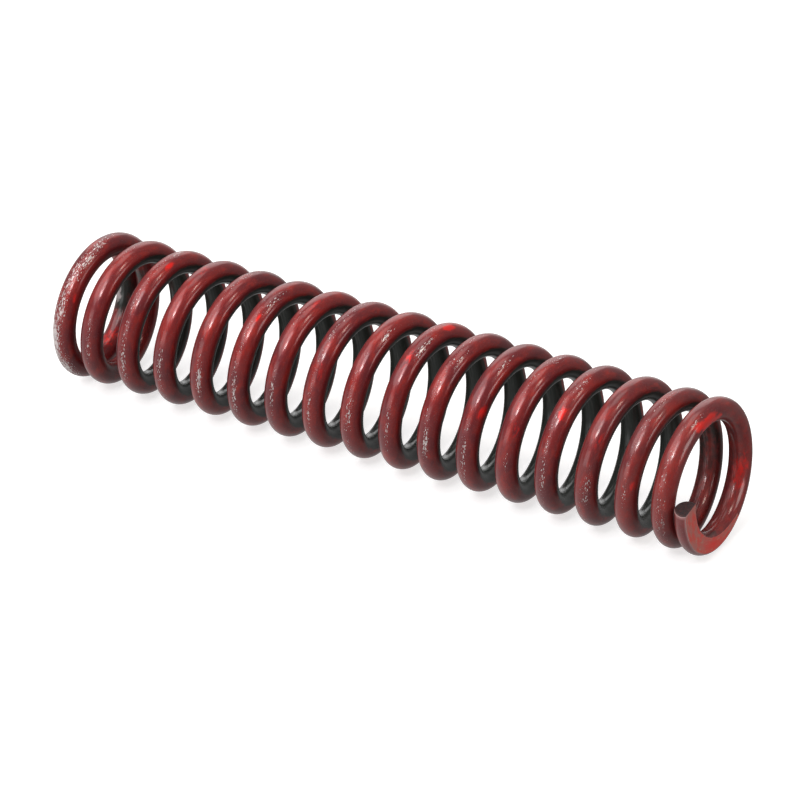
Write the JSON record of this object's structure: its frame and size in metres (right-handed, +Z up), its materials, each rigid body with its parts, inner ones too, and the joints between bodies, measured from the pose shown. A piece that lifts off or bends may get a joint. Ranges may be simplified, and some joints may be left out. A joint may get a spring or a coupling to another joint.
{
  "type": "coil spring",
  "caption": "Round-wire helical compression spring with closed and ground ends, painted dark red and chipped, lying on its side.",
  "frame": {"origin": "bottom centre of the bounding box, on the surface the spring lies on, halfway along its axis", "axes": "+X along the spring's axis, towards the end that moves; +Z up; the axis is parallel to X, half the outside diameter above the origin"},
  "size_m": [0.2216, 0.0465, 0.0464],
  "materials": {
    "painted_wire": "semi-gloss dark red paint, chipped and scuffed down to bare grey steel",
    "ground_end_coil": "semi-gloss dark red paint over a ground flat, scuffed pinkish along its edges"
  },
  "bodies": {
    "fixed_end_coil": {"fixed_end_coil": "ground_end_coil"},
    "coil_02_front": {"coil_02_front": "painted_wire"},
    "coil_02_rear": {"coil_02_rear": "painted_wire"},
    "coil_03_front": {"coil_03_front": "painted_wire"},
    "coil_03_rear": {"coil_03_rear": "painted_wire"},
    "coil_04_front": {"coil_04_front": "painted_wire"},
    "coil_04_rear": {"coil_04_rear": "painted_wire"},
    "coil_05_front": {"coil_05_front": "painted_wire"},
    "coil_05_rear": {"coil_05_rear": "painted_wire"},
    "coil_06_front": {"coil_06_front": "painted_wire"},
    "coil_06_rear": {"coil_06_rear": "painted_wire"},
    "coil_07_front": {"coil_07_front": "painted_wire"},
    "coil_07_rear": {"coil_07_rear": "painted_wire"},
    "coil_08_front": {"coil_08_front": "painted_wire"},
    "coil_08_rear": {"coil_08_rear": "painted_wire"},
    "coil_09_front": {"coil_09_front": "painted_wire"},
    "coil_09_rear": {"coil_09_rear": "painted_wire"},
    "coil_10_front": {"coil_10_front": "painted_wire"},
    "coil_10_rear": {"coil_10_rear": "painted_wire"},
    "coil_11_front": {"coil_11_front": "painted_wire"},
    "coil_11_rear": {"coil_11_rear": "painted_wire"},
    "coil_12_front": {"coil_12_front": "painted_wire"},
    "coil_12_rear": {"coil_12_rear": "painted_wire"},
    "coil_13_front": {"coil_13_front": "painted_wire"},
    "coil_13_rear": {"coil_13_rear": "painted_wire"},
    "coil_14_front": {"coil_14_front": "painted_wire"},
    "coil_14_rear": {"coil_14_rear": "painted_wire"},
    "coil_15_front": {"coil_15_front": "painted_wire"},
    "coil_15_rear": {"coil_15_rear": "painted_wire"},
    "coil_16_front": {"coil_16_front": "painted_wire"},
    "coil_16_rear": {"coil_16_rear": "painted_wire"},
    "free_end_coil": {"free_end_coil": "ground_end_coil"}
  },
  "joints": [
    {"name": "compression", "type": "slide", "parent": "fixed_end_coil", "child": "free_end_coil", "axis": [-1, 0, 0], "range_m": [0, 0.0844], "stiffness_N_per_m": 25000},
    {"name": "coil_02_front_slide", "type": "slide", "parent": "fixed_end_coil", "child": "coil_02_front", "axis": [-1, 0, 0], "range_m": [0, 0.00079]},
    {"name": "coil_02_rear_slide", "type": "slide", "parent": "fixed_end_coil", "child": "coil_02_rear", "axis": [-1, 0, 0], "range_m": [0, 0.00275]},
    {"name": "coil_03_front_slide", "type": "slide", "parent": "fixed_end_coil", "child": "coil_03_front", "axis": [-1, 0, 0], "range_m": [0, 0.00551]},
    {"name": "coil_03_rear_slide", "type": "slide", "parent": "fixed_end_coil", "child": "coil_03_rear", "axis": [-1, 0, 0], "range_m": [0, 0.00846]},
    {"name": "coil_04_front_slide", "type": "slide", "parent": "fixed_end_coil", "child": "coil_04_front", "axis": [-1, 0, 0], "range_m": [0, 0.01142]},
    {"name": "coil_04_rear_slide", "type": "slide", "parent": "fixed_end_coil", "child": "coil_04_rear", "axis": [-1, 0, 0], "range_m": [0, 0.01437]},
    {"name": "coil_05_front_slide", "type": "slide", "parent": "fixed_end_coil", "child": "coil_05_front", "axis": [-1, 0, 0], "range_m": [0, 0.01733]},
    {"name": "coil_05_rear_slide", "type": "slide", "parent": "fixed_end_coil", "child": "coil_05_rear", "axis": [-1, 0, 0], "range_m": [0, 0.02028]},
    {"name": "coil_06_front_slide", "type": "slide", "parent": "fixed_end_coil", "child": "coil_06_front", "axis": [-1, 0, 0], "range_m": [0, 0.02323]},
    {"name": "coil_06_rear_slide", "type": "slide", "parent": "fixed_end_coil", "child": "coil_06_rear", "axis": [-1, 0, 0], "range_m": [0, 0.02619]},
    {"name": "coil_07_front_slide", "type": "slide", "parent": "fixed_end_coil", "child": "coil_07_front", "axis": [-1, 0, 0], "range_m": [0, 0.02914]},
    {"name": "coil_07_rear_slide", "type": "slide", "parent": "fixed_end_coil", "child": "coil_07_rear", "axis": [-1, 0, 0], "range_m": [0, 0.0321]},
    {"name": "coil_08_front_slide", "type": "slide", "parent": "fixed_end_coil", "child": "coil_08_front", "axis": [-1, 0, 0], "range_m": [0, 0.03505]},
    {"name": "coil_08_rear_slide", "type": "slide", "parent": "fixed_end_coil", "child": "coil_08_rear", "axis": [-1, 0, 0], "range_m": [0, 0.03801]},
    {"name": "coil_09_front_slide", "type": "slide", "parent": "fixed_end_coil", "child": "coil_09_front", "axis": [-1, 0, 0], "range_m": [0, 0.04096]},
    {"name": "coil_09_rear_slide", "type": "slide", "parent": "fixed_end_coil", "child": "coil_09_rear", "axis": [-1, 0, 0], "range_m": [0, 0.04391]},
    {"name": "coil_10_front_slide", "type": "slide", "parent": "fixed_end_coil", "child": "coil_10_front", "axis": [-1, 0, 0], "range_m": [0, 0.04687]},
    {"name": "coil_10_rear_slide", "type": "slide", "parent": "fixed_end_coil", "child": "coil_10_rear", "axis": [-1, 0, 0], "range_m": [0, 0.04982]},
    {"name": "coil_11_front_slide", "type": "slide", "parent": "fixed_end_coil", "child": "coil_11_front", "axis": [-1, 0, 0], "range_m": [0, 0.05278]},
    {"name": "coil_11_rear_slide", "type": "slide", "parent": "fixed_end_coil", "child": "coil_11_rear", "axis": [-1, 0, 0], "range_m": [0, 0.05573]},
    {"name": "coil_12_front_slide", "type": "slide", "parent": "fixed_end_coil", "child": "coil_12_front", "axis": [-1, 0, 0], "range_m": [0, 0.05868]},
    {"name": "coil_12_rear_slide", "type": "slide", "parent": "fixed_end_coil", "child": "coil_12_rear", "axis": [-1, 0, 0], "range_m": [0, 0.06164]},
    {"name": "coil_13_front_slide", "type": "slide", "parent": "fixed_end_coil", "child": "coil_13_front", "axis": [-1, 0, 0], "range_m": [0, 0.06459]},
    {"name": "coil_13_rear_slide", "type": "slide", "parent": "fixed_end_coil", "child": "coil_13_rear", "axis": [-1, 0, 0], "range_m": [0, 0.06755]},
    {"name": "coil_14_front_slide", "type": "slide", "parent": "fixed_end_coil", "child": "coil_14_front", "axis": [-1, 0, 0], "range_m": [0, 0.0705]},
    {"name": "coil_14_rear_slide", "type": "slide", "parent": "fixed_end_coil", "child": "coil_14_rear", "axis": [-1, 0, 0], "range_m": [0, 0.07345]},
    {"name": "coil_15_front_slide", "type": "slide", "parent": "fixed_end_coil", "child": "coil_15_front", "axis": [-1, 0, 0], "range_m": [0, 0.07641]},
    {"name": "coil_15_rear_slide", "type": "slide", "parent": "fixed_end_coil", "child": "coil_15_rear", "axis": [-1, 0, 0], "range_m": [0, 0.07936]},
    {"name": "coil_16_front_slide", "type": "slide", "parent": "fixed_end_coil", "child": "coil_16_front", "axis": [-1, 0, 0], "range_m": [0, 0.08201]},
    {"name": "coil_16_rear_slide", "type": "slide", "parent": "fixed_end_coil", "child": "coil_16_rear", "axis": [-1, 0, 0], "range_m": [0, 0.08379]}
  ],
  "couplings": [
    {"joint": "coil_02_front_slide", "follows": "compression", "ratio": 0.00917},
    {"joint": "coil_02_rear_slide", "follows": "compression", "ratio": 0.03246},
    {"joint": "coil_03_front_slide", "follows": "compression", "ratio": 0.0651},
    {"joint": "coil_03_rear_slide", "follows": "compression", "ratio": 0.1001},
    {"joint": "coil_04_front_slide", "follows": "compression", "ratio": 0.13511},
    {"joint": "coil_04_rear_slide", "follows": "compression", "ratio": 0.17011},
    {"joint": "coil_05_front_slide", "follows": "compression", "ratio": 0.20511},
    {"joint": "coil_05_rear_slide", "follows": "compression", "ratio": 0.24011},
    {"joint": "coil_06_front_slide", "follows": "compression", "ratio": 0.27511},
    {"joint": "coil_06_rear_slide", "follows": "compression", "ratio": 0.31011},
    {"joint": "coil_07_front_slide", "follows": "compression", "ratio": 0.34512},
    {"joint": "coil_07_rear_slide", "follows": "compression", "ratio": 0.38012},
    {"joint": "coil_08_front_slide", "follows": "compression", "ratio": 0.41512},
    {"joint": "coil_08_rear_slide", "follows": "compression", "ratio": 0.45012},
    {"joint": "coil_09_front_slide", "follows": "compression", "ratio": 0.48512},
    {"joint": "coil_09_rear_slide", "follows": "compression", "ratio": 0.52012},
    {"joint": "coil_10_front_slide", "follows": "compression", "ratio": 0.55513},
    {"joint": "coil_10_rear_slide", "follows": "compression", "ratio": 0.59013},
    {"joint": "coil_11_front_slide", "follows": "compression", "ratio": 0.62513},
    {"joint": "coil_11_rear_slide", "follows": "compression", "ratio": 0.66013},
    {"joint": "coil_12_front_slide", "follows": "compression", "ratio": 0.69513},
    {"joint": "coil_12_rear_slide", "follows": "compression", "ratio": 0.73013},
    {"joint": "coil_13_front_slide", "follows": "compression", "ratio": 0.76514},
    {"joint": "coil_13_rear_slide", "follows": "compression", "ratio": 0.80014},
    {"joint": "coil_14_front_slide", "follows": "compression", "ratio": 0.83514},
    {"joint": "coil_14_rear_slide", "follows": "compression", "ratio": 0.87014},
    {"joint": "coil_15_front_slide", "follows": "compression", "ratio": 0.90514},
    {"joint": "coil_15_rear_slide", "follows": "compression", "ratio": 0.94014},
    {"joint": "coil_16_front_slide", "follows": "compression", "ratio": 0.97154},
    {"joint": "coil_16_rear_slide", "follows": "compression", "ratio": 0.99255}
  ]
}
